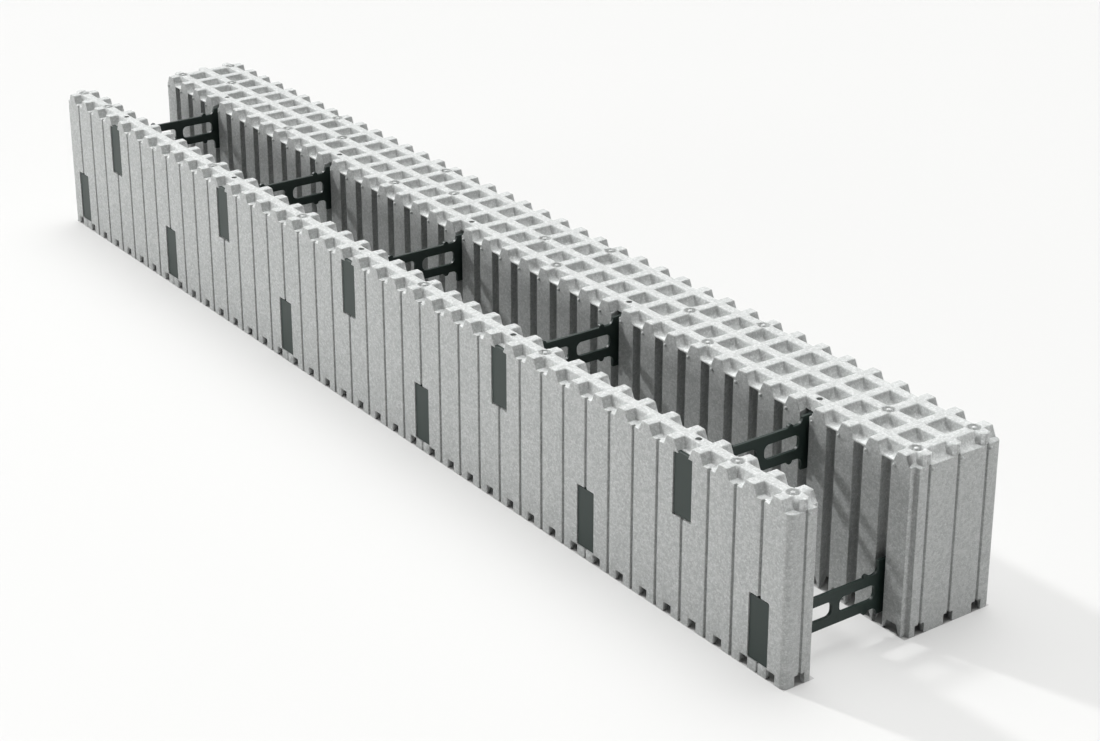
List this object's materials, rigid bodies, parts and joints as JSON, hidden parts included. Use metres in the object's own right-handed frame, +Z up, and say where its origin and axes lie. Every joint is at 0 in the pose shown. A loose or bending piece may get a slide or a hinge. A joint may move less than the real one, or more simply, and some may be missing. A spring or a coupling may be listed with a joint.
{
  "type": "insulating concrete form block",
  "caption": "Long wall-form block: a thin and a thick grey foam panel held apart by dark plastic ties, with interlocking ribs on top and sockets below, for pouring concrete between.",
  "frame": {"origin": "middle of the underside, on the floor", "axes": "+X along the block, +Y from the thin panel to the thick panel, +Z up to the ribs"},
  "size_m": [2, 0.35, 0.25],
  "materials": {
    "foam": "moulded expanded polystyrene, graphite grey, matt with fine beads",
    "tie_plastic": "moulded polypropylene, near black, satin"
  },
  "bodies": {
    "root": {"thin_panel": "foam", "thick_panel": "foam", "lower_tie_1": "tie_plastic", "lower_tie_2": "tie_plastic", "lower_tie_3": "tie_plastic", "lower_tie_4": "tie_plastic", "lower_tie_5": "tie_plastic", "lower_tie_6": "tie_plastic", "upper_tie_1": "tie_plastic", "upper_tie_2": "tie_plastic", "upper_tie_3": "tie_plastic", "upper_tie_4": "tie_plastic", "upper_tie_5": "tie_plastic"}
  },
  "joints": []
}
